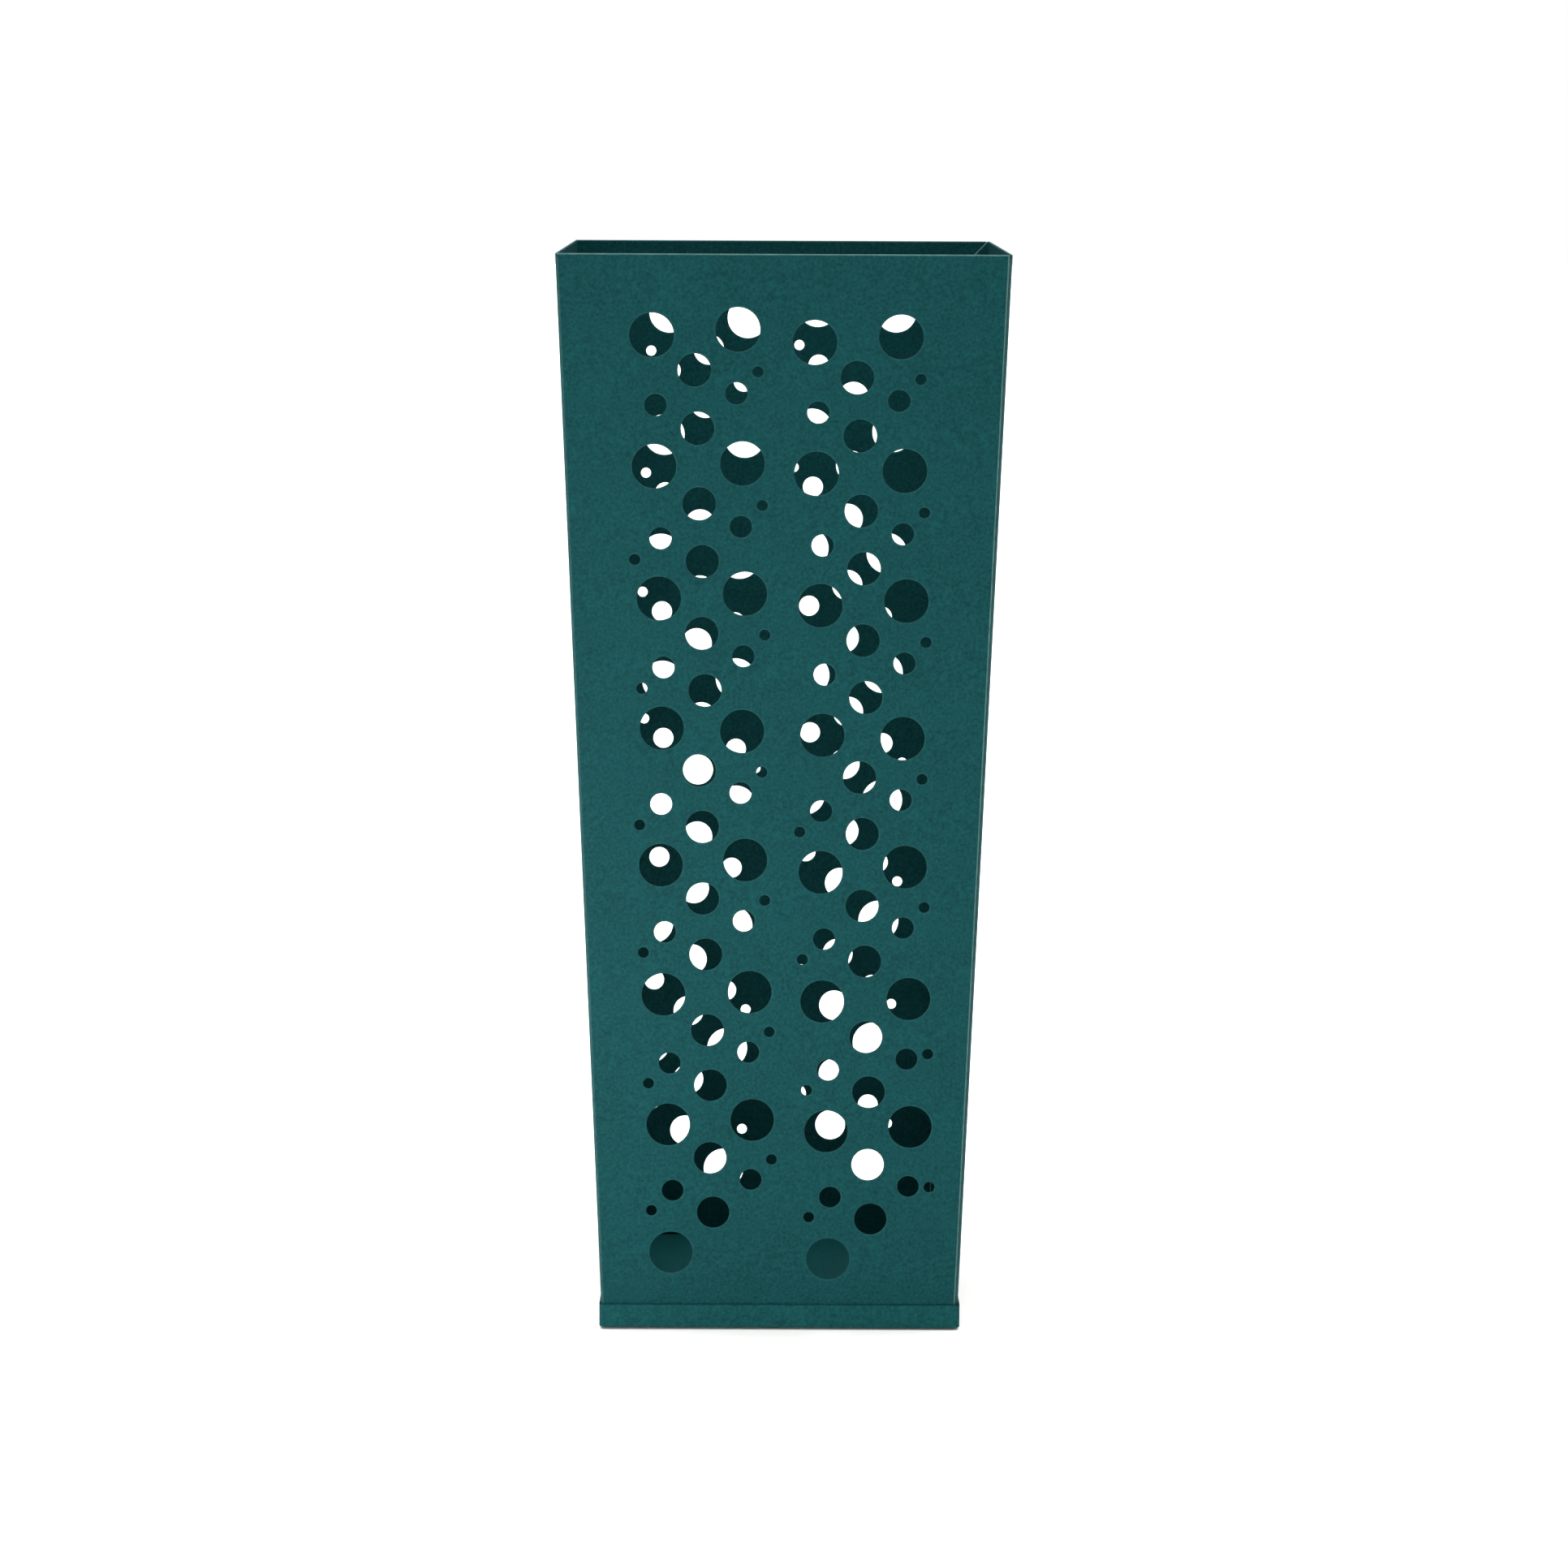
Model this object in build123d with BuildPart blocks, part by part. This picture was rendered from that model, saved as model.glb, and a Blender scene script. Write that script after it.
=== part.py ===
"""Square umbrella stand of folded sheet steel, punched all round with rising bubbles.

A wrap of three walls and a flanged right side make a tapering body, which stands loose in a
shallow drip tray on four stick-on pads. Millimetres, +Z up, the origin on the floor under the
middle of the stand, the front towards -Y.
"""

import os
from math import atan, cos, degrees, radians

from build123d import *

os.makedirs("parts", exist_ok=True)

# ---- whole stand
STAND_HEIGHT = 490.0  # floor to rim
RIM_WIDTH = 200.0  # outside the body at the rim, the same both ways
TRAY_WIDTH = 165.0  # outside the tray, the same both ways

# ---- drip tray and its pads
PAD_THICKNESS = 1.0
PAD_DIAMETER = 16.0
PAD_SPACING = 120.0  # centre to centre, both ways
TRAY_SHEET = 0.6
TRAY_DEPTH = 11.0
TRAY_CORNER_RADIUS = 1.8  # outside, seen from above
TRAY_BEND_RADIUS = 0.8  # outside, between floor and skirt
TRAY_GAP = 0.2  # between the body and the top of the skirt

# ---- body
BODY_SHEET = 0.8
BEND_RADIUS = 1.5  # outside the folded corners
FLANGE_AT_FOOT = 7.5  # from the side's outer face to the flange's free edge
FLANGE_AT_RIM = 10.5  # the flanges widen upwards, and are mitred at the rim
WRAP_EDGE_INSET = 1.4  # from the side's outer face to the free edges of the wrap
WRAP_CORNER_RADIUS = 0.8

# ---- bubbles
BUBBLE_UNIT = 4.9  # the smallest bubble; the others are two, three and four times as wide
TINY = BUBBLE_UNIT
SMALL = 2 * BUBBLE_UNIT
MEDIUM = 3 * BUBBLE_UNIT
LARGE = 4 * BUBBLE_UNIT
ROW_PITCH = 58.4  # from the top row to the next
ROW_GROWTH = 0.475  # each step down to the next row is this much longer than the one above it
BLOCK_ROWS = 4  # the rows' small shifts repeat after this many rows
FULL_ROWS = 7  # rows that have all their bubbles; the next has only its large one
RIGHT_TINY = (27.9, 0.7)  # tiny bubble on a row's right, across and down from its medium one
OUTER_TINY = (-27.1, 24.9)  # the one on the outer left
FIRST_OUTER_TINY = (-28.9, 24.9)  # the same in the second row, the highest that has it
STRIP_PITCH = 71.6
STRIP_DROP = 3.0  # the right-hand strip starts this much lower
FIRST_BUBBLE = (-36.0, 439.2)  # medium bubble of the top row, from the middle and the floor
MIDDLE_HEIGHT = STAND_HEIGHT / 2
FRONT_LEAN = 0.0163  # how far the pattern leans to the left, per millimetre of height
BACK_LEAN = 0.0221
BACK_SHIFT = (4.25, 1.5)  # the pattern sits this far to the right and up on the back wall
PUNCH_REACH = 2.0  # the punch passes through the sheet by this much, both ways

# ---- worked out from the above
TRAY_UNDERSIDE = PAD_THICKNESS
TRAY_FLOOR = TRAY_UNDERSIDE + TRAY_SHEET
TRAY_TOP = TRAY_UNDERSIDE + TRAY_DEPTH
BODY_HALF_AT_TRAY_TOP = TRAY_WIDTH / 2 - TRAY_SHEET - TRAY_GAP
BODY_SLOPE = (RIM_WIDTH / 2 - BODY_HALF_AT_TRAY_TOP) / (STAND_HEIGHT - TRAY_TOP)
BODY_LEAN = degrees(atan(BODY_SLOPE))
LEAN_COSINE = cos(radians(BODY_LEAN))
LEVEL_SHEET = BODY_SHEET / LEAN_COSINE  # the sheet's thickness measured level


def body_half(height):
    """Half the body's outside width at a height above the floor."""
    return RIM_WIDTH / 2 - (STAND_HEIGHT - height) * BODY_SLOPE


def wall_plane(turn, inset=0.0):
    """The outer face of one wall: 0 is the front, 90 the right, 180 the back, 270 the left.

    Its x runs to the right as seen from outside, and its y up the slope from the tray's floor.
    An inset moves it level towards the middle of the stand.
    """
    foot = Vector(0, inset - body_half(TRAY_FLOOR), TRAY_FLOOR).rotate(Axis.Z, turn)
    right = Vector(1, 0, 0).rotate(Axis.Z, turn)
    outward = Vector(0, -1, -BODY_SLOPE).rotate(Axis.Z, turn)
    return Plane(origin=foot, x_dir=right, z_dir=outward)


def up_slope(height):
    """Distance up a wall's outer face, from the tray's floor to a height above the floor."""
    return (height - TRAY_FLOOR) / LEAN_COSINE


def strip_bubbles(outer_tiny_rows, low_tiny_drops):
    """Bubbles of one vertical strip as (x, z, diameter), counted from its top medium bubble.

    outer_tiny_rows are the rows that have a tiny bubble on the outer left, and low_tiny_drops
    gives how far the tiny bubble on the right drops in the rows where it hangs lower.
    """
    row_shifts = [(0.0, 0.0), (1.2, -0.3), (1.5, 0.95), (-0.6, -1.4)]
    large_left = [(-18.5, 15.3), (-19.6, 16.5), (-18.8, 15.6), (-16.4, 19.1)]
    in_every_row = [
        (0.0, 0.0, MEDIUM),
        (19.4, 17.8, LARGE),
        (1.0, -25.7, MEDIUM),
        (18.3, -10.2, SMALL),
        (-17.3, -15.4, SMALL),
    ]
    bubbles = []
    for row in range(FULL_ROWS + 1):
        x, shift_z = row_shifts[row % BLOCK_ROWS]
        z = shift_z - row * ROW_PITCH - row**2 * ROW_GROWTH / 2
        left_x, left_z = large_left[row % BLOCK_ROWS]
        bubbles.append((x + left_x, z + left_z, LARGE))
        if row == FULL_ROWS:
            break
        for across, up, diameter in in_every_row:
            bubbles.append((x + across, z + up, diameter))
        right_x, right_drop = RIGHT_TINY
        bubbles.append((x + right_x, z - low_tiny_drops.get(row, right_drop), TINY))
        if row in outer_tiny_rows:
            outer_x, outer_drop = FIRST_OUTER_TINY if row == 1 else OUTER_TINY
            bubbles.append((x + outer_x, z - outer_drop, TINY))
    return bubbles


def wall_bubbles(lean, shift):
    """Both strips of a wall as (x, height, diameter), leaning and shifted as punched."""
    strips = [
        strip_bubbles(range(1, FULL_ROWS), {}),
        strip_bubbles(range(3, FULL_ROWS), {5: 7.8, 6: 10.5}),
    ]
    first_x, first_height = FIRST_BUBBLE
    shift_x, shift_height = shift
    bubbles = []
    for number, strip in enumerate(strips):
        for x, z, diameter in strip:
            height = first_height + z - number * STRIP_DROP + shift_height
            across = first_x + x + number * STRIP_PITCH + shift_x
            bubbles.append((across - (height - MIDDLE_HEIGHT) * lean, height, diameter))
    return bubbles


def bubble_sketch(plane, lean, shift=(0, 0)):
    """All the bubbles of one wall as circles on its outer face."""
    with BuildSketch(plane) as sketch:
        for x, height, diameter in wall_bubbles(lean, shift):
            with Locations((x, up_slope(height))):
                Circle(diameter / 2)
    return sketch.sketch


def wall_outline(plane, left_inset, right_inset):
    """Outline of a wall on its outer face, its edges set in from the corners of the body."""
    half_low = body_half(TRAY_FLOOR)
    half_high = body_half(STAND_HEIGHT)
    top = up_slope(STAND_HEIGHT)
    with BuildSketch(plane) as sketch:
        with BuildLine():
            Polyline(
                (left_inset - half_low, 0),
                (half_low - right_inset, 0),
                (half_high - right_inset, top),
                (left_inset - half_high, top),
                close=True,
            )
        make_face()
    return sketch.sketch


def bend_profile(start, tangent):
    """Level section of a bend at its foot: a quarter ring that turns left from its start."""
    with BuildSketch(Plane.XY.offset(TRAY_FLOOR)) as sketch:
        with BuildLine():
            JernArc(start=start, tangent=tangent, radius=BEND_RADIUS, arc_size=90)
            offset(amount=LEVEL_SHEET, side=Side.LEFT)
        make_face()
    return sketch.sketch


def bend_run(side):
    """The way a front corner runs from foot to rim: on the left (-1) or on the right (1)."""
    return Vector(side * BODY_SLOPE, -BODY_SLOPE, 1) * (STAND_HEIGHT - TRAY_FLOOR)


def flange_outline():
    """The right side's front flange, which lies flat behind the front wall.

    Its bent edge follows the corner, and its top is cut back at 45 degrees from the bend.
    """
    half_low = body_half(TRAY_FLOOR)
    half_high = body_half(STAND_HEIGHT)
    top = up_slope(STAND_HEIGHT)
    mitre = FLANGE_AT_RIM - BEND_RADIUS
    with BuildSketch(wall_plane(0, LEVEL_SHEET)) as sketch:
        with BuildLine():
            Polyline(
                (half_low - FLANGE_AT_FOOT, 0),
                (half_low - BEND_RADIUS, 0),
                (half_high - BEND_RADIUS, top),
                (half_high - FLANGE_AT_RIM, top - mitre),
                close=True,
            )
        make_face()
    return sketch.sketch


# ---- drip tray: a shallow square pan that the body stands in
with BuildPart() as base_tray:
    with BuildSketch(Plane.XY.offset(TRAY_UNDERSIDE)):
        RectangleRounded(TRAY_WIDTH, TRAY_WIDTH, TRAY_CORNER_RADIUS)
    extrude(amount=TRAY_DEPTH)
    fillet(base_tray.faces().sort_by(Axis.Z)[0].edges(), TRAY_BEND_RADIUS)
    inside_width = TRAY_WIDTH - 2 * TRAY_SHEET
    with BuildSketch(Plane.XY.offset(TRAY_FLOOR)):
        RectangleRounded(inside_width, inside_width, TRAY_CORNER_RADIUS - TRAY_SHEET)
    extrude(amount=TRAY_DEPTH, mode=Mode.SUBTRACT)
    floor_face = base_tray.faces().filter_by(Axis.Z).sort_by(Axis.Z)[1]
    fillet(floor_face.edges(), TRAY_BEND_RADIUS - TRAY_SHEET)
base_tray.part.label = "base_tray"
export_step(base_tray.part, "parts/base_tray.step")

# ---- foot pads: soft discs stuck under the tray, well in from its edge
for pad_name, pad_x, pad_y in [
    ("foot_pad_front_left", -1, -1),
    ("foot_pad_front_right", 1, -1),
    ("foot_pad_back_left", -1, 1),
    ("foot_pad_back_right", 1, 1),
]:
    with BuildPart() as foot_pad:
        with BuildSketch():
            with Locations((pad_x * PAD_SPACING / 2, pad_y * PAD_SPACING / 2)):
                Circle(PAD_DIAMETER / 2)
        extrude(amount=PAD_THICKNESS)
    foot_pad.part.label = pad_name
    export_step(foot_pad.part, "parts/" + pad_name + ".step")

# ---- right side: a punched web with a flange bent in along each upright edge
with BuildPart() as right_side:
    web_inset = LEVEL_SHEET + BEND_RADIUS
    web = wall_outline(wall_plane(90), web_inset, web_inset)
    extrude(web, amount=LEVEL_SHEET, dir=(-1, 0, 0))
    bend_foot = (body_half(TRAY_FLOOR) - BEND_RADIUS, LEVEL_SHEET - body_half(TRAY_FLOOR))
    corner_run = bend_run(1)
    extrude(bend_profile(bend_foot, (1, 0)), amount=corner_run.length, dir=corner_run.normalized())
    extrude(flange_outline(), amount=LEVEL_SHEET, dir=(0, 1, 0))
    mirror(about=Plane.XZ)
    extrude(bubble_sketch(wall_plane(90), FRONT_LEAN), amount=PUNCH_REACH, both=True, mode=Mode.SUBTRACT)
right_side.part.label = "right_side"
export_step(right_side.part, "parts/right_side.step")

# ---- wrap: front, left and back walls folded from one sheet, spot-welded over the flanges
with BuildPart() as body_wrap:
    left_wall = wall_outline(wall_plane(270), BEND_RADIUS, BEND_RADIUS)
    extrude(left_wall, amount=LEVEL_SHEET, dir=(1, 0, 0))
    bend_foot = (-body_half(TRAY_FLOOR), BEND_RADIUS - body_half(TRAY_FLOOR))
    corner_run = bend_run(-1)
    extrude(bend_profile(bend_foot, (0, -1)), amount=corner_run.length, dir=corner_run.normalized())
    front_wall = wall_outline(wall_plane(0), BEND_RADIUS, WRAP_EDGE_INSET)
    extrude(front_wall, amount=LEVEL_SHEET, dir=(0, 1, 0))
    mirror(about=Plane.XZ)
    rim_edges = body_wrap.edges().filter_by(Axis.Y).group_by(Axis.Z)[-1]
    fillet(rim_edges.sort_by(Axis.X)[-2:], WRAP_CORNER_RADIUS)
    for turn, lean, shift in [
        (0, FRONT_LEAN, (0, 0)),
        (270, FRONT_LEAN, (0, 0)),
        (180, BACK_LEAN, BACK_SHIFT),
    ]:
        punches = bubble_sketch(wall_plane(turn), lean, shift)
        extrude(punches, amount=PUNCH_REACH, both=True, mode=Mode.SUBTRACT)
body_wrap.part.label = "body_wrap"
export_step(body_wrap.part, "parts/body_wrap.step")
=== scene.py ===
"""Square umbrella stand of folded, punched and powder-coated sheet steel, in its drip tray.

Metres, +Z up, the origin on the floor under the middle of the stand, the front towards -Y.
"""

import bpy
import numpy as np
from mathutils import Matrix, Vector
from mathutils.geometry import delaunay_2d_cdt


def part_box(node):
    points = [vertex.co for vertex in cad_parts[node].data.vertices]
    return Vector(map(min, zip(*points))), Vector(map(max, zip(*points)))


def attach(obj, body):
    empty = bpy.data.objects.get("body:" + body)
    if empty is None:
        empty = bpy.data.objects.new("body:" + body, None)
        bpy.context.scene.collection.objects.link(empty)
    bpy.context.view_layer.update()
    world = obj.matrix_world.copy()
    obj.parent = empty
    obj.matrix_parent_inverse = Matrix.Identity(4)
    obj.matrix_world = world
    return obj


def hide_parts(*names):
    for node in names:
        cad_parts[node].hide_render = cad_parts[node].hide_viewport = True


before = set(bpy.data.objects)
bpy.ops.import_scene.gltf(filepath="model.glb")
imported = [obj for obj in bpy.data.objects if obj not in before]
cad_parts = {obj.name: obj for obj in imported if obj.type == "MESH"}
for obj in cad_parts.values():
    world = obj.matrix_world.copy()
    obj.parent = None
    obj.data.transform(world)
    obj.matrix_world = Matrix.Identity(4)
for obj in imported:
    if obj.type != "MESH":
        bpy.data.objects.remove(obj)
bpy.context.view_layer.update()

# ---- Drip tray ----
# A shallow square pan of 0.6 mm steel, folded up all round and powder-coated teal, a shade
# lighter than the body. Its floor, bend, skirt and top edge are one section carried round.

QUARTER = np.pi / 2
TRAY_SHEET = 0.0006
TRAY_CORNER_RADIUS = 0.0018
TRAY_BEND_RADIUS = 0.0008
TRAY_CORNER_STEPS = 8
TRAY_SIDE_STEPS = 24
OUTER_BEND_STEPS = 6
INNER_BEND_STEPS = 4
SKIRT_RINGS = 7
FLOOR_RINGS = 9
LIP_STEPS = 3
LIP_SHADE = 0.0004  # down the outside, over which the lip's painted shade fades out
TRAY_THICK_TEAL = (0.0034, 0.040, 0.042)
TRAY_THIN_TEAL = (0.0082, 0.080, 0.084)
JOIN_SHADE_TEAL = (0.002, 0.022, 0.023)  # painted shade: the tray's lip darkened where the body stands in it, as that join lies in shade
SPECKLES = [(0.0013, 3, 0.75), (0.006, 2, 0.15), (0.045, 2, 0.10)]  # size, detail, share
NOISE_MIDDLE = (0.3, 0.7)
SMOOTHEST_COAT = 0.46
ROUGHEST_COAT = 0.58
EDGE_PATCH = 0.004
PALEST_PATCH = 0.6
EDGE_AMOUNT = 0.75
PEEL_WAVE = 0.0011
PEEL_HEIGHT = 0.00003
COAT_SPECULAR = 0.04


def node_group(name, inputs, outputs):
    """A new shader node group with float, colour or vector sockets, given by name."""
    group = bpy.data.node_groups.new(name, "ShaderNodeTree")
    sockets = {"float": "NodeSocketFloat", "colour": "NodeSocketColor", "vector": "NodeSocketVector"}
    for label, kind in inputs:
        group.interface.new_socket(label, in_out="INPUT", socket_type=sockets[kind])
    for label, kind in outputs:
        group.interface.new_socket(label, in_out="OUTPUT", socket_type=sockets[kind])
    return group


def add_node(tree, kind, **settings):
    """A node in a tree, with its properties set by name."""
    node = tree.nodes.new(kind)
    for label, value in settings.items():
        setattr(node, label, value)
    return node


def plug(tree, node, **values):
    """Sets or links a node's inputs; underscores in their names stand for spaces."""
    for label, value in values.items():
        socket = node.inputs[label.replace("_", " ")]
        if isinstance(value, bpy.types.NodeSocket):
            tree.links.new(value, socket)
        else:
            socket.default_value = value
    return node


def noise_of(tree, vector, feature_size, detail):
    """Noise from 0 to 1 whose blobs are about feature_size metres across."""
    node = add_node(tree, "ShaderNodeTexNoise")
    plug(tree, node, Vector=vector, Scale=1 / feature_size, Detail=detail, Roughness=0.5)
    return node.outputs["Fac"]


def scaled(tree, value, from_low, from_high, to_low, to_high):
    """A value moved from one range to another, and kept inside it."""
    node = add_node(tree, "ShaderNodeMapRange")
    plug(tree, node, Value=value, From_Min=from_low, From_Max=from_high)
    plug(tree, node, To_Min=to_low, To_Max=to_high)
    return node.outputs["Result"]


def stretched_noise(tree, vector, feature_size, detail, low=0.0):
    """Noise with the middle of its range stretched to run from low to 1."""
    noise = noise_of(tree, vector, feature_size, detail)
    return scaled(tree, noise, *NOISE_MIDDLE, low, 1)


def calculated(tree, operation, *values, clamp=False):
    """The output of a maths node that is given its values or links in order."""
    node = add_node(tree, "ShaderNodeMath", operation=operation, use_clamp=clamp)
    for socket, value in zip(node.inputs, values):
        if isinstance(value, bpy.types.NodeSocket):
            tree.links.new(value, socket)
        else:
            socket.default_value = value
    return node.outputs[0]


def mixed(tree, share, first, second):
    """Two colours mixed, by a share of the second."""
    node = add_node(tree, "ShaderNodeMix", data_type="RGBA")
    for index, value in [(0, share), (6, first), (7, second)]:
        if isinstance(value, bpy.types.NodeSocket):
            tree.links.new(value, node.inputs[index])
        else:
            node.inputs[index].default_value = value
    return node.outputs[2]


def coat_speckle_group():
    """Powder that lies a little thicker and thinner, in grains, blotches and soft clouds."""
    group = node_group(
        "coat_speckle",
        [("Vector", "vector"), ("Colour", "colour"), ("Thin Colour", "colour"), ("Strength", "float")],
        [("Colour", "colour"), ("Roughness", "float")],
    )
    entry = add_node(group, "NodeGroupInput")
    vector = entry.outputs["Vector"]
    total = 0.0
    for feature_size, detail, share in SPECKLES:
        grains = stretched_noise(group, vector, feature_size, detail)
        total = calculated(group, "MULTIPLY_ADD", grains, share, total)
    strength = calculated(group, "MULTIPLY", total, entry.outputs["Strength"])
    leave = add_node(group, "NodeGroupOutput")
    colour = mixed(group, strength, entry.outputs["Colour"], entry.outputs["Thin Colour"])
    group.links.new(colour, leave.inputs["Colour"])
    roughness = scaled(group, total, 0, 1, SMOOTHEST_COAT, ROUGHEST_COAT)
    group.links.new(roughness, leave.inputs["Roughness"])
    return group


def edge_light_shade_group():
    """Edges and folds in another colour by an uneven mask: thin coat with painted highlight, or
    painted shade.
    """
    group = node_group(
        "edge_light_shade",
        [("Vector", "vector"), ("Colour", "colour"), ("Edge Colour", "colour"), ("Amount", "float")],
        [("Colour", "colour"), ("Mask", "float")],
    )
    entry = add_node(group, "NodeGroupInput")
    edge = add_node(group, "ShaderNodeAttribute", attribute_name="edge").outputs["Fac"]
    patchy = stretched_noise(group, entry.outputs["Vector"], EDGE_PATCH, 2, PALEST_PATCH)
    uneven = calculated(group, "MULTIPLY", edge, patchy)
    amount = calculated(group, "MULTIPLY", uneven, entry.outputs["Amount"], clamp=True)
    leave = add_node(group, "NodeGroupOutput")
    colour = mixed(group, amount, entry.outputs["Colour"], entry.outputs["Edge Colour"])
    group.links.new(colour, leave.inputs["Colour"])
    group.links.new(amount, leave.inputs["Mask"])
    return group


def orange_peel_group():
    """The shallow waves that melted powder sets in, as a height in metres."""
    group = node_group(
        "orange_peel",
        [("Vector", "vector"), ("Wave Height", "float")],
        [("Height", "float")],
    )
    entry = add_node(group, "NodeGroupInput")
    waves = noise_of(group, entry.outputs["Vector"], PEEL_WAVE, 2)
    height = calculated(group, "MULTIPLY", waves, entry.outputs["Wave Height"])
    leave = add_node(group, "NodeGroupOutput")
    group.links.new(height, leave.inputs["Height"])
    return group


speckle = coat_speckle_group()
edge_light_shade = edge_light_shade_group()
orange_peel = orange_peel_group()


def opaque(colour):
    """A colour with full alpha, as a socket takes it."""
    return (*colour, 1.0)


def powder_coat(name, colour, thin_colour, edge_colour):
    """Baked matt powder over steel: speckled colour, painted light or shade at edges, orange peel."""
    material = bpy.data.materials.new(name)
    material.use_nodes = True
    tree = material.node_tree
    place = add_node(tree, "ShaderNodeTexCoord").outputs["Object"]
    powder = add_node(tree, "ShaderNodeGroup", node_tree=speckle)
    plug(tree, powder, Vector=place, Strength=1.0)
    plug(tree, powder, Colour=opaque(colour), Thin_Colour=opaque(thin_colour))
    edge_light_shade_node = add_node(tree, "ShaderNodeGroup", node_tree=edge_light_shade)
    plug(tree, edge_light_shade_node, Vector=place, Colour=powder.outputs["Colour"])
    plug(tree, edge_light_shade_node, Edge_Colour=opaque(edge_colour), Amount=EDGE_AMOUNT)
    peel = add_node(tree, "ShaderNodeGroup", node_tree=orange_peel)
    plug(tree, peel, Vector=place, Wave_Height=PEEL_HEIGHT)
    bump = add_node(tree, "ShaderNodeBump")
    plug(tree, bump, Height=peel.outputs["Height"], Distance=1.0)
    shader = tree.nodes["Principled BSDF"]
    plug(tree, shader, Base_Color=edge_light_shade_node.outputs["Colour"], Roughness=powder.outputs["Roughness"])
    plug(tree, shader, Normal=bump.outputs["Normal"], Specular_IOR_Level=COAT_SPECULAR)
    return material


def shaded_piece(name, positions, faces, edge, material):
    """A smooth mesh piece from its points, faces and how much of the edge colour each has."""
    mesh = bpy.data.meshes.new(name)
    mesh.from_pydata(positions, [], faces)
    mesh.shade_smooth()
    mesh.attributes.new("edge", "FLOAT", "POINT").data.foreach_set("value", edge)
    mesh.materials.append(material)
    mesh.update()
    piece = bpy.data.objects.new(name, mesh)
    bpy.context.scene.collection.objects.link(piece)
    return piece


def quarter_round(start, end, towards, steps):
    """Points of a quarter circle from start to end, which sets out from start to towards.

    The centre is start plus end less towards, and the point at angle t is the centre, plus
    cos t times the arm to start, plus sin t times the arm to end.
    """
    start, end, towards = (np.array(point, float) for point in (start, end, towards))
    turn = np.linspace(0, QUARTER, steps + 1)[:, None]
    centre = start + end - towards
    return centre + (start - centre) * np.cos(turn) + (end - centre) * np.sin(turn)


def rounded_square(half, radius, corner_steps, side_steps):
    """Points of a rounded square, anticlockwise from above, and the way out at each.

    A corner's points are its centre plus the radius times (cos a, sin a), the way out. The
    points of a side are spread evenly between two corners, with the last one's way out.
    """
    points, ways_out = [], []
    for quarter in range(4):
        angle = np.linspace(0, QUARTER, corner_steps + 1) + quarter * QUARTER
        outward = np.stack([np.cos(angle), np.sin(angle)], 1)
        centre = (half - radius) * np.sign(outward[corner_steps // 2])
        corner = centre + radius * outward
        onward = np.array([-outward[-1, 1], outward[-1, 0]]) * 2 * (half - radius)
        share = np.linspace(0, 1, side_steps + 1)[1:-1, None]
        points += [corner, corner[-1] + share * onward]
        ways_out += [outward, np.repeat(outward[-1:], side_steps - 1, 0)]
    return np.concatenate(points), np.concatenate(ways_out)


def carried_round(points, ways_out, section):
    """A closed surface: a section carried round a loop, and closed to a point at both ends.

    A row of the section is (inset, height, reach, edge). Its ring is the loop moved in by
    the inset and then shrunk to reach times its size, at that height. The first and last
    rows, whose reach is 0, are one point each. Returns points, faces and edge values.
    """
    inset, height, reach, edge = np.array(section, float).T
    count, rings = len(points), len(section) - 2
    flat = reach[:, None, None] * (points - inset[:, None, None] * ways_out)
    tall = np.broadcast_to(height[:, None, None], (len(section), count, 1))
    ring_points = np.concatenate([flat, tall], 2)[1:-1].reshape(-1, 3)
    positions = np.concatenate([ring_points, [[0, 0, height[0]], [0, 0, height[-1]]]])
    here = np.arange(count)
    after = np.roll(here, -1)
    ring = np.arange(rings - 1)[:, None] * count
    quads = np.stack([ring + here, ring + after, ring + count + after, ring + count + here], 2)
    first, last = rings * count, rings * count + 1
    top = (rings - 1) * count
    faces = quads.reshape(-1, 4).tolist()
    faces += np.stack([after, here, np.full(count, first)], 1).tolist()
    faces += np.stack([top + here, top + after, np.full(count, last)], 1).tolist()
    return positions, faces, np.concatenate([np.repeat(edge[1:-1], count), [0, 0]])


teal_tray = powder_coat("teal_tray_coat", TRAY_THICK_TEAL, TRAY_THIN_TEAL, JOIN_SHADE_TEAL)
tray_low, tray_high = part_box("base_tray")
bend_top = tray_low.z + TRAY_BEND_RADIUS
inner_floor = tray_low.z + TRAY_SHEET
lip = tray_high.z - TRAY_SHEET / 2
outer_bend = quarter_round(
    (TRAY_BEND_RADIUS, tray_low.z), (0, bend_top), (0, tray_low.z), OUTER_BEND_STEPS
)
lip_top = (TRAY_SHEET / 2, tray_high.z)
lip_up = quarter_round((0, lip), lip_top, (0, tray_high.z), LIP_STEPS)
lip_down = quarter_round(lip_top, (TRAY_SHEET, lip), (TRAY_SHEET, tray_high.z), LIP_STEPS)
inner_bend = quarter_round(
    (TRAY_SHEET, bend_top),
    (TRAY_BEND_RADIUS, inner_floor),
    (TRAY_SHEET, inner_floor),
    INNER_BEND_STEPS,
)
floor_reach = np.linspace(0, 1, FLOOR_RINGS)[:-1]
tray_section = [(TRAY_BEND_RADIUS, tray_low.z, reach, 0) for reach in floor_reach]
tray_section += [(inset, height, 1, 0) for inset, height in outer_bend]
skirt_up = np.linspace(bend_top, lip - LIP_SHADE, SKIRT_RINGS)[1:]
tray_section += [(0, height, 1, 0) for height in skirt_up]
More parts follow.
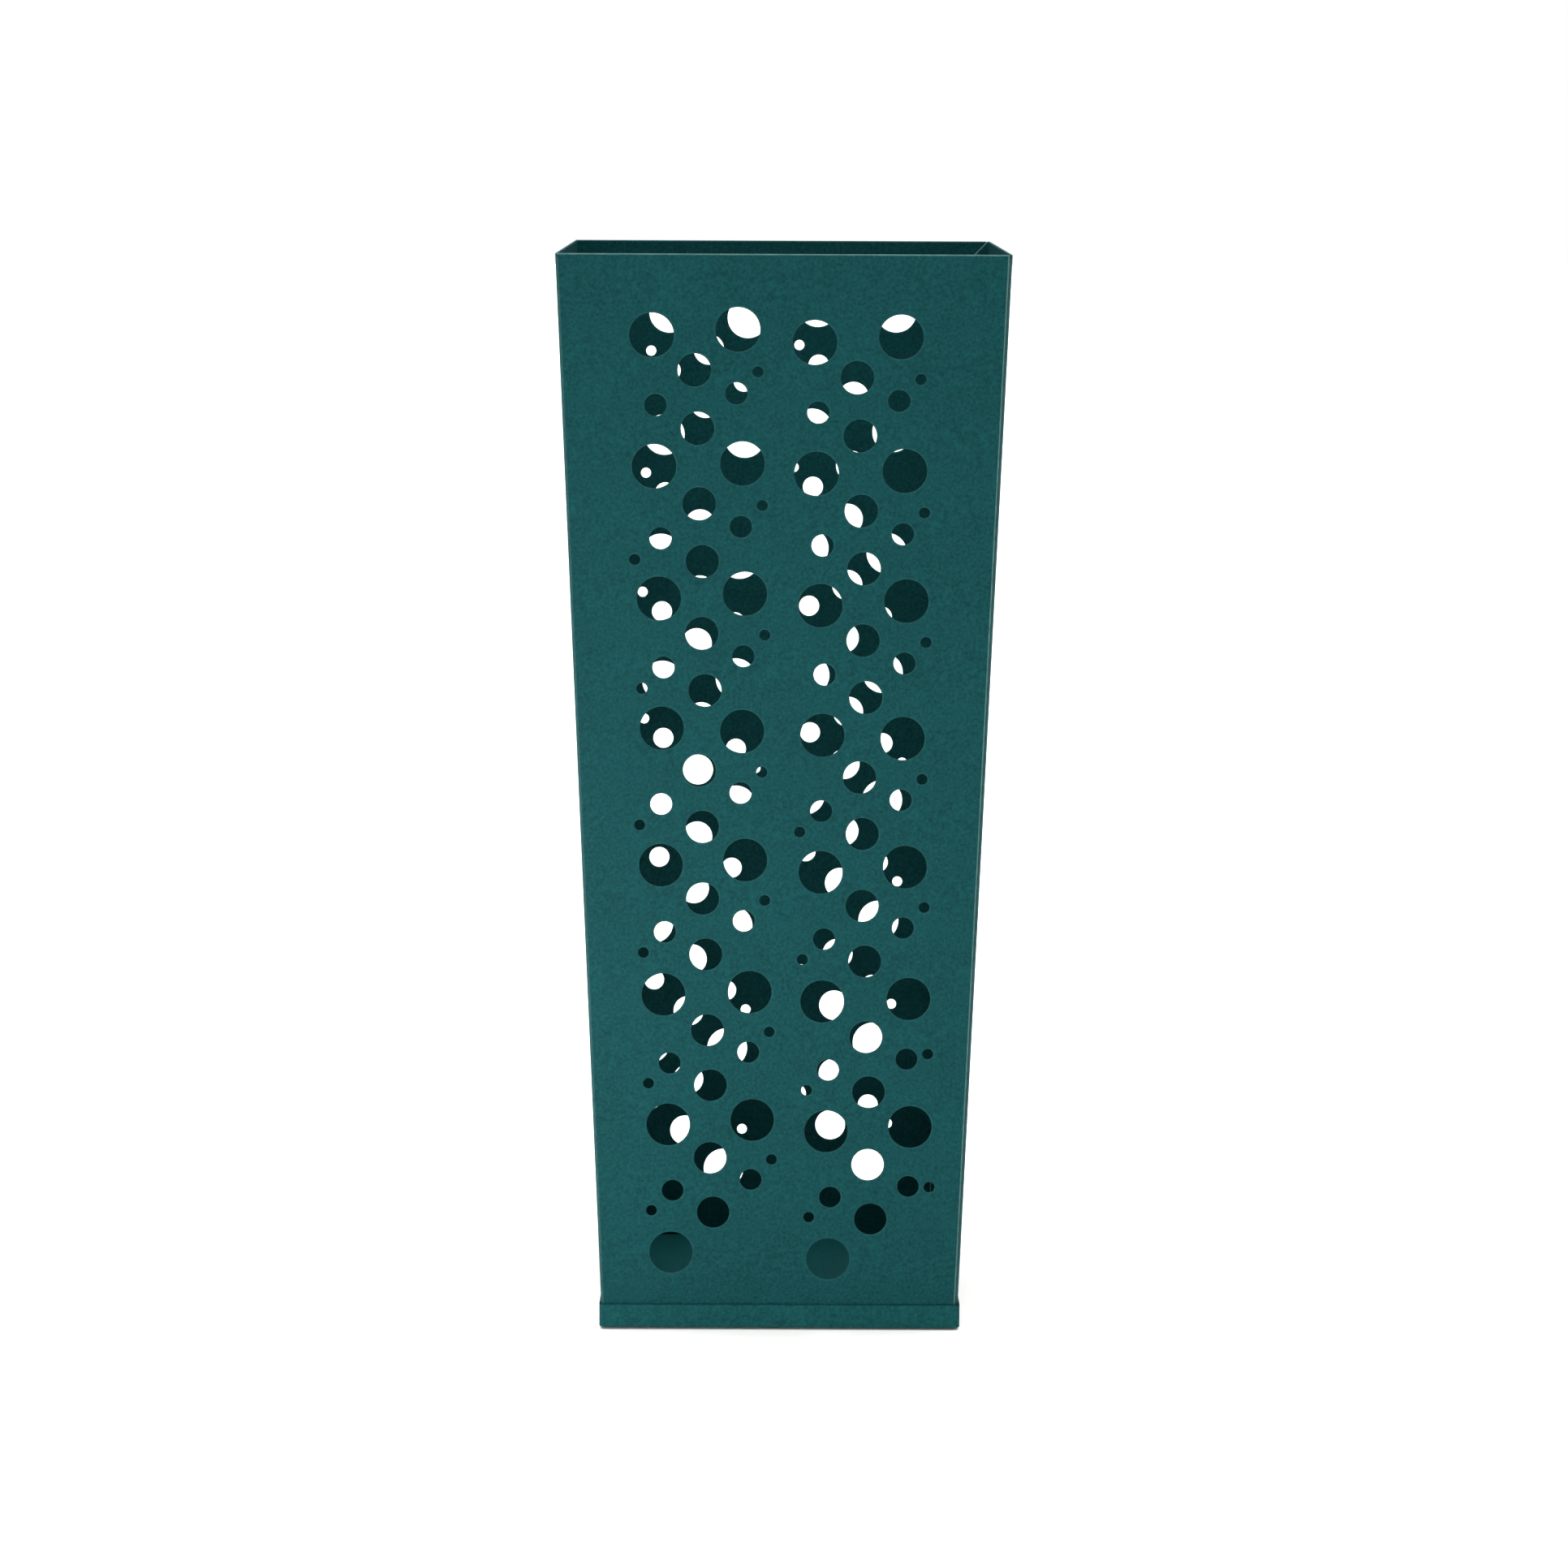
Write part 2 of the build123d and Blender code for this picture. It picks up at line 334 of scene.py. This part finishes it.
# the lip's rows take the painted shade of the join
tray_section += [(inset, height, 1, 1) for inset, height in [*lip_up, *lip_down[1:]]]
skirt_down = np.linspace(lip, bend_top, SKIRT_RINGS)[1:-1]
tray_section += [(TRAY_SHEET, height, 1, 0) for height in skirt_down]
tray_section += [(inset, height, 1, 0) for inset, height in inner_bend]
tray_section += [(TRAY_BEND_RADIUS, inner_floor, reach, 0) for reach in floor_reach[::-1]]
tray_loop, tray_out = rounded_square(
    tray_high.x, TRAY_CORNER_RADIUS, TRAY_CORNER_STEPS, TRAY_SIDE_STEPS
)
base_tray = shaded_piece(
    "drip_tray", *carried_round(tray_loop, tray_out, tray_section), teal_tray
)
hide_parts("base_tray")
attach(base_tray, "tray")

# ---- Foot pads ----
# Four discs of black foam rubber, die-cut from sheet with a sticky back and pressed on under
# the tray near its corners. The cut leaves their edges very slightly round.

PAD_EDGE_RADIUS = 0.00025
PAD_EDGE_STEPS = 4
PAD_SIDES = 64
PAD_RINGS = [0.33, 0.67]
RUBBER_BLACK = (0.012, 0.012, 0.013)
RUBBER_GREY = (0.030, 0.030, 0.031)
RUBBER_ROUGHNESS = (0.85, 0.95)
RUBBER_SPECULAR = 0.3
CLOUD_SIZE = 0.003
PORE_SIZE = 0.0004
PORE_DEPTH = 0.00008


def foam_rubber():
    """Dull black closed-cell rubber with fine pores."""
    material = bpy.data.materials.new("black_foam_rubber")
    material.use_nodes = True
    tree = material.node_tree
    place = add_node(tree, "ShaderNodeTexCoord").outputs["Object"]
    pores = noise_of(tree, place, PORE_SIZE, 2)
    clouds = stretched_noise(tree, place, CLOUD_SIZE, 2)
    bump = add_node(tree, "ShaderNodeBump")
    plug(tree, bump, Height=pores, Distance=PORE_DEPTH)
    shader = tree.nodes["Principled BSDF"]
    plug(tree, shader, Base_Color=mixed(tree, clouds, opaque(RUBBER_BLACK), opaque(RUBBER_GREY)))
    plug(tree, shader, Roughness=scaled(tree, clouds, 0, 1, *RUBBER_ROUGHNESS))
    plug(tree, shader, Normal=bump.outputs["Normal"], Specular_IOR_Level=RUBBER_SPECULAR)
    return material


rubber = foam_rubber()
for pad_name in ["front_left", "front_right", "back_left", "back_right"]:
    pad_low, pad_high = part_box("foot_pad_" + pad_name)
    pad_radius = (pad_high.x - pad_low.x) / 2
    pad_round = np.linspace(0, 2 * np.pi, PAD_SIDES + 1)[:-1]
    pad_out = np.stack([np.cos(pad_round), np.sin(pad_round)], 1)
    low_edge = quarter_round(
        (PAD_EDGE_RADIUS, pad_low.z),
        (0, pad_low.z + PAD_EDGE_RADIUS),
        (0, pad_low.z),
        PAD_EDGE_STEPS,
    )
    high_edge = quarter_round(
        (0, pad_high.z - PAD_EDGE_RADIUS),
        (PAD_EDGE_RADIUS, pad_high.z),
        (0, pad_high.z),
        PAD_EDGE_STEPS,
    )
    pad_section = [(PAD_EDGE_RADIUS, pad_low.z, reach, 0) for reach in [0, *PAD_RINGS]]
    pad_section += [(inset, height, 1, 0) for inset, height in [*low_edge, *high_edge]]
    pad_section += [(PAD_EDGE_RADIUS, pad_high.z, reach, 0) for reach in [*PAD_RINGS[::-1], 0]]
    pad_points, pad_faces, pad_edges = carried_round(pad_radius * pad_out, pad_out, pad_section)
    pad_middle = (pad_low + pad_high) / 2
    pad_points += (pad_middle.x, pad_middle.y, 0)
    pad = shaded_piece("pad_" + pad_name, pad_points, pad_faces, pad_edges, rubber)
    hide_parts("foot_pad_" + pad_name)
    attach(pad, "tray")

# ---- Right side ----
# One wall: a 0.8 mm steel blank, cut and punched flat on a turret press, then folded so that
# it has a flange along both upright edges. Powder-coated teal after welding.

BODY_SHEET = 0.0008
BEND_RADIUS = 0.0015
FLANGE_AT_FOOT = 0.0075
FLANGE_AT_RIM = 0.0105
EDGE_ROUND = 0.00035
EDGE_BAND = 0.00075
OUTSIDE_ROUND_STEPS = 2
INSIDE_ROUND_STEPS = 1
CORNER_ROUND = 0.0008
CORNER_STEPS = 4
LEAST_CORNER = 0.02  # radians; an outline that turns less than this has no rounded corner
BEND_STEPS = 6
BEND_END_GAP = 0.002
MESH_PITCH = 0.007
ROW_PITCH = MESH_PITCH * 0.87  # near the height of a triangle with three equal sides
OUTLINE_PITCH = MESH_PITCH * 0.6
EDGE_GAP = MESH_PITCH / 3
HOLE_GAP = MESH_PITCH / 4
FARTHEST_COLUMN = 45  # far enough each way for a blank of three walls
FEWEST_HOLE_STEPS = 12
FOUR_MORE_STEPS = 0.00123  # the radius for which a hole gets four steps more
THINNEST = 1e-7  # metres; a triangle that is less high than this is a sliver
ON_FACE = 2e-5  # metres; a point nearer than this to a face lies on it
SAME_POINT = 1e-8
THICK_TEAL = (0.0027, 0.033, 0.0355)
THIN_TEAL = (0.0066, 0.067, 0.072)
# Edges lighter than the faces: partly a thinner coat over the rounded edges, partly painted highlight
# where they catch the light.
EDGE_HIGHLIGHT_TEAL = (0.120, 0.220, 0.215)
FRONT_EDGE_HIGHLIGHT = 1.0  # outlines past a blank's right-hand bend, the front wall's among them: the seam that catches most light, so the strongest painted highlight
EDGE_HIGHLIGHT = 0.35  # the rest of the outlines
HOLE_EDGE_HIGHLIGHT = 0.08
# painted reflection: the bends' grazing reflection of the white studio put into their colour, with a
# thinner coat there
BEND_REFLECTION = 0.25


def node_mesh(node):
    """A CAD node's points and triangles, with points in the same place made one."""
    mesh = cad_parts[node].data
    points = np.empty(len(mesh.vertices) * 3, np.float32)
    mesh.vertices.foreach_get("co", points)
    mesh.calc_loop_triangles()
    triangles = np.empty(len(mesh.loop_triangles) * 3, np.int32)
    mesh.loop_triangles.foreach_get("vertices", triangles)
    points, same = np.unique(points.reshape(-1, 3).round(7), axis=0, return_inverse=True)
    return points.astype(float), same.ravel()[triangles].reshape(-1, 3)


side_low, side_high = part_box("right_side")
foot, rim = side_low.z, side_high.z
rim_half = side_high.x
side_points = node_mesh("right_side")[0]
foot_half = side_points[side_points[:, 2] < foot + ON_FACE, 0].max()
body_slope = (rim_half - foot_half) / (rim - foot)
lean_cosine = 1 / np.hypot(1, body_slope)
level_sheet = BODY_SHEET / lean_cosine
wall_top = (rim - foot) / lean_cosine
bend_length = BEND_RADIUS * QUARTER


def half_width(up):
    """Half the body's outside width, at a distance up the slope of a wall."""
    return foot_half + up * lean_cosine * body_slope


def turned(points, degrees):
    """Points turned about the stand's upright middle line."""
    cosine, sine = np.cos(np.radians(degrees)), np.sin(np.radians(degrees))
    return points @ np.array([[cosine, sine, 0], [-sine, cosine, 0], [0, 0, 1]])


def folded(blank, degrees, bend_inset):
    """Points of a flat blank, put where the folded sheet has them.

    A blank's point is (across, up the slope, depth through the sheet), from the middle line
    of its middle wall. That wall is flat up to half the body's width less the bend inset.
    There the sheet turns on a circle by (across - start) / radius, up to a quarter turn, at
    the radius less the depth; what is left of it runs straight inwards.
    """
    across, up, depth = blank.T
    start = half_width(up) - bend_inset
    turn = np.clip((np.abs(across) - start) / BEND_RADIUS, 0, QUARTER)
    past = np.clip(np.abs(across) - start - bend_length, 0, None)
    radius = BEND_RADIUS - depth
    x = np.sign(across) * (np.minimum(np.abs(across), start) + radius * np.sin(turn))
    y = past - half_width(up) + BEND_RADIUS - radius * np.cos(turn)
    return turned(np.stack([x, y, foot + up * lean_cosine], 1), degrees)


def on_blank(points, side):
    """Points (across, up) of one wall, where the flat blank of three walls has them.

    side is 0 for the middle wall, 1 for the next to its right and -1 to its left. A wall's
    middle line is two bend starts and a bend's length away from the middle wall's.
    """
    across, up = points.T
    away = 2 * (half_width(up) - BEND_RADIUS) + bend_length
    return np.stack([across + side * away, up], 1)


def punched_holes(node, degrees, side):
    """Holes of one wall of a CAD node as rows of (across, up the slope, radius, side).

    An edge that only one triangle of the outer face has runs round a hole or the outline.
    Points that such edges join share the lowest of their numbers, and through each group a
    circle is fitted by least squares: across² + up² = 2 a across + 2 b up + c. A circle
    wider than a quarter of the rim is the outline's.
    """
    points, triangles = node_mesh(node)
    points = turned(points, -degrees)
    up = (points[:, 2] - foot) / lean_cosine
    depth = points[:, 1] + half_width(up)
    outer = triangles[(np.abs(depth[triangles]) < ON_FACE).all(1)]
    edges = np.sort(np.concatenate([outer[:, :2], outer[:, 1:], outer[:, ::2]]), 1)
    edges, uses = np.unique(edges, axis=0, return_counts=True)
    first, second = edges[uses == 1].T
    group = np.arange(len(points))
    before = None
    while before is None or (group != before).any():
        before = group.copy()
        lowest = np.minimum(group[first], group[second])
        np.minimum.at(group, first, lowest)
        np.minimum.at(group, second, lowest)
    holes = []
    for number in np.unique(group[first]):
        x, y = points[group == number, 0], up[group == number]
        terms = np.stack([2 * x, 2 * y, np.ones(len(x))], 1)
        (a, b, c), *_ = np.linalg.lstsq(terms, x**2 + y**2, rcond=None)
        holes.append((a, b, np.sqrt(c + a**2 + b**2), side))
    holes = np.array(holes)
    return holes[holes[:, 2] < rim_half / 4]


def cut_outline(corners):
    """Points round a blank anticlockwise, and the way into the sheet at each.

    Each corner is rounded by an arc whose points are its centre less the radius times the
    way in. Straight stretches are divided evenly, and their way in is square to them.
    """
    onward = np.roll(corners, -1, 0) - corners
    length = np.hypot(*onward.T)
    onward = onward / length[:, None]
    inward = np.stack([-onward[:, 1], onward[:, 0]], 1)
    points, ways_in = [], []
    for index, corner in enumerate(corners):
        before = index - 1
        bend = np.arctan2(onward[index] @ inward[before], onward[index] @ onward[before])
        if abs(bend) < LEAST_CORNER:
            arc_in = inward[index : index + 1]
            arc = corner[None]
        else:
            tangent = CORNER_ROUND * np.tan(bend / 2)
            centre = corner - onward[before] * tangent + inward[before] * CORNER_ROUND
            angle = np.linspace(0, bend, CORNER_STEPS + 1)[:, None]
            arc_in = inward[before] * np.cos(angle) - onward[before] * np.sin(angle)
            arc = centre - CORNER_ROUND * arc_in
        after = (index + 1) % len(corners)
        parts = int(np.ceil(length[index] / OUTLINE_PITCH))
        share = np.linspace(0, 1, parts + 1)[1:-1, None]
        straight = corner + share * (corners[after] - corner)
        points += [arc, straight]
        ways_in += [arc_in, np.repeat(inward[index : index + 1], len(straight), 0)]
    return np.concatenate(points), np.concatenate(ways_in)


def punched_edge(hole):
    """Points clockwise round a hole, and the way into the sheet at each, which is outwards.

    They are found on the hole's own wall, and moved to where the blank has them.
    """
    across, up, radius, side = hole
    steps = FEWEST_HOLE_STEPS + 4 * int(np.round(radius / FOUR_MORE_STEPS))
    angle = -np.linspace(0, 2 * np.pi, steps + 1)[:-1]
    way_in = np.stack([np.cos(angle), np.sin(angle)], 1)
    on_wall = np.array([across, up]) + radius * way_in
    points = on_blank(on_wall, side)
    return points, on_blank(on_wall + way_in, side) - points


def coated_section():
    """Section of a cut edge, as rows of (way in, depth, edge value) from outside to inside.

    A narrow flat band, a quarter round, the cut through the sheet, and the same again with
    the round as one bevel.
    """
    outside = quarter_round((EDGE_ROUND, 0), (0, EDGE_ROUND), (0, 0), OUTSIDE_ROUND_STEPS)
    inside = quarter_round(
        (0, level_sheet - EDGE_ROUND),
        (EDGE_ROUND, level_sheet),
        (0, level_sheet),
        INSIDE_ROUND_STEPS,
    )
    rows = [(EDGE_BAND, 0, 0)]
    rows += [(inset, depth, 1) for inset, depth in [*outside, *inside]]
    rows += [(EDGE_BAND, level_sheet, 0)]
    return np.array(rows)


def mesh_points(corners, holes, bend_inset):
    """Points spread over the flats of a blank in staggered rows, clear of edges and bends."""
    rows = int(wall_top / ROW_PITCH)
    up = np.linspace(0, wall_top, rows + 1)[1:-1]
    columns = np.arange(-FARTHEST_COLUMN, FARTHEST_COLUMN + 1)
    across = (columns[None, :] + (np.arange(len(up)) % 2 / 2)[:, None]) * MESH_PITCH
    spread = np.stack([across, np.broadcast_to(up[:, None], across.shape)], 2).reshape(-1, 2)
    onward = np.roll(corners, -1, 0) - corners
    inward = np.stack([-onward[:, 1], onward[:, 0]], 1) / np.hypot(*onward.T)[:, None]
    from_edges = ((spread[:, None] - corners) * inward).sum(2)
    past_start = np.abs(spread[:, 0]) - half_width(spread[:, 1]) + bend_inset
    off_bends = np.abs(past_start - bend_length / 2) > bend_length / 2 + EDGE_GAP
    centres = on_blank(holes[:, :2], holes[:, 3])
    reach = np.hypot(*(spread[:, None] - centres).transpose(2, 0, 1))
    clear = (reach > holes[:, 2] + EDGE_BAND + HOLE_GAP).all(1)
    return spread[(from_edges > EDGE_GAP).all(1) & off_bends & clear]


def bend_points(bend_inset):
    """Points along both bends, in columns that follow them, and the edges down each column.

    With them, 1 for each point inside a bend and 0 for those where it starts and ends.
    """
    row_count = int(wall_top / MESH_PITCH)
    rows = np.linspace(BEND_END_GAP, wall_top - BEND_END_GAP, row_count)
    past_start = np.linspace(0, bend_length, BEND_STEPS + 1)
    columns = []
    for sign in (-1, 1):
        across = sign * (half_width(rows) - bend_inset + past_start[:, None])
        columns.append(np.stack([across, np.broadcast_to(rows, across.shape)], 2))
    columns = np.concatenate(columns)
    numbers = np.arange(columns.shape[0] * columns.shape[1]).reshape(columns.shape[:2])
    edges = np.stack([numbers[:, :-1].ravel(), numbers[:, 1:].ravel()], 1)
    inside = np.ones(columns.shape[:2])
    inside[:: BEND_STEPS + 1] = 0
    inside[BEND_STEPS :: BEND_STEPS + 1] = 0
    return columns.reshape(-1, 2), edges, inside.ravel()


def blank_corners(bend_inset, past_bend, cut):
    """Corners of a blank that is alike on both sides, anticlockwise from the foot.

    Along the foot and the rim there is a corner at each step of a bend. past_bend is how far
    the sheet goes on past it at the foot and the top, and cut how far that top is cut down.
    """
    bend_steps = np.linspace(0, bend_length, BEND_STEPS + 1)
    right = [(foot_half - bend_inset + step, 0) for step in bend_steps]
    bend_end = half_width(wall_top - cut) - bend_inset + bend_length
    right += [(right[-1][0] + past_bend[0], 0), (bend_end + past_bend[1], wall_top - cut)]
    right += [(rim_half - bend_inset + step, wall_top) for step in bend_steps[::-1]]
    return np.array(right + [(-across, up) for across, up in right[::-1]])


def folded_sheet(name, node, degrees, corners, bend_inset, holes, material):
    """One folded sheet: its blank's outline and holes, the faces between them, then folded.

    The section of a cut edge is carried along the outline and every hole. Between their
    bands, the outer and the inner face have the same triangles, by constrained Delaunay. The
    sheet lies on the left of each step along a loop. So a triangle with all its corners on
    one hole, or a sliver with all of them on the outline, is kept only if one of its edges
    is such a step, in that direction.
    """
    loops = [cut_outline(corners)] + [punched_edge(hole) for hole in holes]
    sizes = np.array([len(points) for points, _ in loops])
    points = np.concatenate([points for points, _ in loops])
    way_in = np.concatenate([ways for _, ways in loops])
    loop = np.repeat(np.arange(len(loops)), sizes)
    firsts = np.cumsum(sizes) - sizes
    here = np.arange(len(points))
    after = np.where(here + 1 == (firsts + sizes)[loop], firsts[loop], here + 1)

    section = coated_section()
    flat = points + section[:, 0, None, None] * way_in
    deep = np.broadcast_to(section[:, 1, None, None], (*flat.shape[:2], 1))
    bands = np.concatenate([flat, deep], 2).reshape(-1, 3)
    past_bend = points[:, 0] > half_width(points[:, 1])
    # how much painted highlight, with the thinner coat, each point of an edge gets
    strength = np.where(loop > 0, HOLE_EDGE_HIGHLIGHT, np.where(past_bend, FRONT_EDGE_HIGHLIGHT, EDGE_HIGHLIGHT))
    edge = (section[:, 2, None] * strength).ravel()
    ring = np.arange(len(section) - 1)[:, None] * len(points)
    far = ring + len(points)
    quads = np.stack([ring + here, far + here, far + after, ring + after], 2).reshape(-1, 4)

    columns, column_links, bend_shares = bend_points(bend_inset)
    links = np.concatenate([np.stack([here, after], 1), column_links + len(points)])
    spread = np.concatenate([columns, mesh_points(corners, holes, bend_inset)])
    flat_points = [Vector(point) for point in np.concatenate([flat[0], spread])]
    found = delaunay_2d_cdt(flat_points, links.tolist(), [], 1, SAME_POINT, True)
    source = np.array([numbers[0] for numbers in found[3]])
    triangles = source[np.array(found[2])]
    of_loop = np.concatenate([loop, np.full(len(spread), -1)])[triangles]
    one_hole = (of_loop[:, 0] > 0) & (of_loop == of_loop[:, :1]).all(1)
    spots = np.concatenate([flat[0], spread])[triangles]
    first, second = (np.roll(spots, -1, 1) - spots)[:, :2].transpose(1, 2, 0)
    longest = np.hypot(*(np.roll(spots, -1, 1) - spots).transpose(2, 0, 1)).max(1)
    sliver = np.abs(first[0] * second[1] - first[1] * second[0]) < THINNEST * longest
    onward = np.concatenate([after, np.full(len(spread), -1)])[triangles]
    in_sheet = (onward == np.roll(triangles, -1, 1)).any(1)
    triangles = triangles[in_sheet | ~(one_hole | ((of_loop == 0).all(1) & sliver))]

    on_edge = triangles < len(points)
    last_ring = (len(section) - 1) * len(points)
    all_rings = len(section) * len(points)
    outer = np.where(on_edge, triangles, triangles + all_rings - len(points))
    inner = np.where(on_edge, triangles + last_ring, outer + len(spread))[:, ::-1]
    outer_spread = np.column_stack([spread, np.zeros(len(spread))])
    inner_spread = np.column_stack([spread, np.full(len(spread), level_sheet)])
    blank = np.concatenate([bands, outer_spread, inner_spread])
    # painted grazing reflection along the bends
    on_bend = np.zeros(len(spread))
    on_bend[: len(columns)] = BEND_REFLECTION * bend_shares
    edge = np.concatenate([edge, on_bend, np.zeros(len(spread))])
    faces = quads.tolist() + outer.tolist() + inner.tolist()
    sheet = shaded_piece(name, folded(blank, degrees, bend_inset), faces, edge, material)
    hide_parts(node)
    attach(sheet, "body")
    return sheet


teal_body = powder_coat("teal_body_coat", THICK_TEAL, THIN_TEAL, EDGE_HIGHLIGHT_TEAL)
side_inset = level_sheet + BEND_RADIUS
flange_cut = FLANGE_AT_RIM - BEND_RADIUS
flange_at_cut = half_width(wall_top - flange_cut) - BEND_RADIUS - (rim_half - FLANGE_AT_RIM)
flange_reach = (FLANGE_AT_FOOT - BEND_RADIUS, flange_at_cut)
side_corners = blank_corners(side_inset, flange_reach, flange_cut)
side_holes = punched_holes("right_side", 90, 0)
folded_sheet("right_wall", "right_side", 90, side_corners, side_inset, side_holes, teal_body)

# ---- Wrap ----
# Front, left and back walls: one blank of the same sheet and punching, folded twice. Its free
# edges lie over the right side's flanges, spot-welded, and stop just short of its folds.

WRAP_EDGE_INSET = 0.0014

wrap_holes = np.concatenate(
    [
        punched_holes("body_wrap", 0, 1),
        punched_holes("body_wrap", 270, 0),
        punched_holes("body_wrap", 180, -1),
    ]
)
wrap_reach = [2 * half - BEND_RADIUS - WRAP_EDGE_INSET for half in (foot_half, rim_half)]
wrap_corners = blank_corners(BEND_RADIUS, wrap_reach, 0)
folded_sheet("wrap_walls", "body_wrap", 270, wrap_corners, BEND_RADIUS, wrap_holes, teal_body)

# ---- Floor and light ----
# A plain white floor in a white studio: a broad soft sky, brightest overhead and a little
# behind, one soft box high above the mouth and a small one in front, low on the left.

FLOOR_RADIUS = 14.0
FLOOR_WHITE = (0.96, 0.95, 0.93)
FLOOR_SIDES = 128
FLOOR_ROUGHNESS = 0.9
SKY_OVERHEAD = 4.6
SKY_LEVEL = 0.08
SKY_BRIGHTEST_WAY = (0.0, 0.13, 0.9915)
SKY_SHARPNESS = 3.0


def plain_floor():
    """A white disc at floor level."""
    around = np.linspace(0, 2 * np.pi, FLOOR_SIDES + 1)[:-1]
    ring = np.stack([np.cos(around), np.sin(around), np.zeros(len(around))], 1) * FLOOR_RADIUS
    mesh = bpy.data.meshes.new("floor")
    mesh.from_pydata(ring, [], [list(range(len(ring)))])
    material = bpy.data.materials.new("white_floor")
    material.use_nodes = True
    shader = material.node_tree.nodes["Principled BSDF"]
    plug(material.node_tree, shader, Base_Color=opaque(FLOOR_WHITE), Roughness=FLOOR_ROUGHNESS)
    plug(material.node_tree, shader, Specular_IOR_Level=0.0)
    mesh.materials.append(material)
    floor = bpy.data.objects.new("floor", mesh)
    bpy.context.scene.collection.objects.link(floor)
    return floor


def white_studio(overhead, level, brightest_way):
    """World light: white to look at, and lighting most strongly from its brightest way.

    Its strength is the level, plus what the overhead strength is above the level times how
    nearly a way is the brightest one, raised to the power of the sky's sharpness.
    """
    world = bpy.data.worlds.new("white_studio")
    world.use_nodes = True
    tree = world.node_tree
    way = add_node(tree, "ShaderNodeTexCoord").outputs["Generated"]
    towards = add_node(tree, "ShaderNodeVectorMath", operation="DOT_PRODUCT")
    tree.links.new(way, towards.inputs[0])
    towards.inputs[1].default_value = brightest_way
    nearness = calculated(tree, "POWER", towards.outputs["Value"], SKY_SHARPNESS, clamp=True)
    strength = scaled(tree, nearness, 0, 1, level, overhead)
    lighting = tree.nodes["Background"]
    plug(tree, lighting, Color=(1, 1, 1, 1), Strength=strength)
    seen = plug(tree, add_node(tree, "ShaderNodeBackground"), Color=(1, 1, 1, 1), Strength=1.0)
    which = add_node(tree, "ShaderNodeMixShader")
    looking = add_node(tree, "ShaderNodeLightPath").outputs["Is Camera Ray"]
    tree.links.new(looking, which.inputs[0])
    tree.links.new(lighting.outputs[0], which.inputs[1])
    tree.links.new(seen.outputs[0], which.inputs[2])
    tree.links.new(which.outputs[0], tree.nodes["World Output"].inputs["Surface"])
    return world


def soft_box(name, place, target, size, radiance):
    """A square area light of a side's length, at a place, facing a target."""
    lamp = bpy.data.lights.new(name, "AREA")
    lamp.shape = "SQUARE"
    lamp.size = size
    lamp.energy = radiance * np.pi * size**2
    box = bpy.data.objects.new(name, lamp)
    box.location = place
    box.rotation_euler = (Vector(target) - Vector(place)).to_track_quat("-Z", "Y").to_euler()
    box.visible_camera = False
    bpy.context.scene.collection.objects.link(box)
    return box


plain_floor()
bpy.context.scene.world = white_studio(SKY_OVERHEAD, SKY_LEVEL, SKY_BRIGHTEST_WAY)
soft_box("overhead_box", place=(0.0, 0.0, 2.4), target=(0.0, 0.0, 0.0), size=0.9, radiance=4.0)
soft_box("front_box", place=(-0.28, -0.5, 0.03), target=(0.0, 0.0, 0.03), size=0.3, radiance=8.0)
bpy.context.scene.view_settings.view_transform = "Standard"

# ---- Camera ----
# Straight on to the front, a little above the rim, looking slightly down, and rolled by a
# quarter of a degree.

CAMERA_PLACE = (-0.0052, -1.9866, 0.5505)
CAMERA_PITCH = 0.15492
CAMERA_YAW = -0.00328
CAMERA_ROLL = 0.0043
CAMERA_LENS = 98.54

camera_data = bpy.data.cameras.new("camera")
camera_data.lens = CAMERA_LENS
camera_data.sensor_width = 36.0
camera = bpy.data.objects.new("camera", camera_data)
bpy.context.scene.collection.objects.link(camera)
turn_up = Matrix.Rotation(QUARTER - CAMERA_PITCH, 4, "X")
turn_aside = Matrix.Rotation(CAMERA_YAW, 4, "Z")
turn_roll = Matrix.Rotation(CAMERA_ROLL, 4, "Z")
camera.matrix_world = Matrix.Translation(CAMERA_PLACE) @ turn_aside @ turn_up @ turn_roll
bpy.context.scene.camera = camera
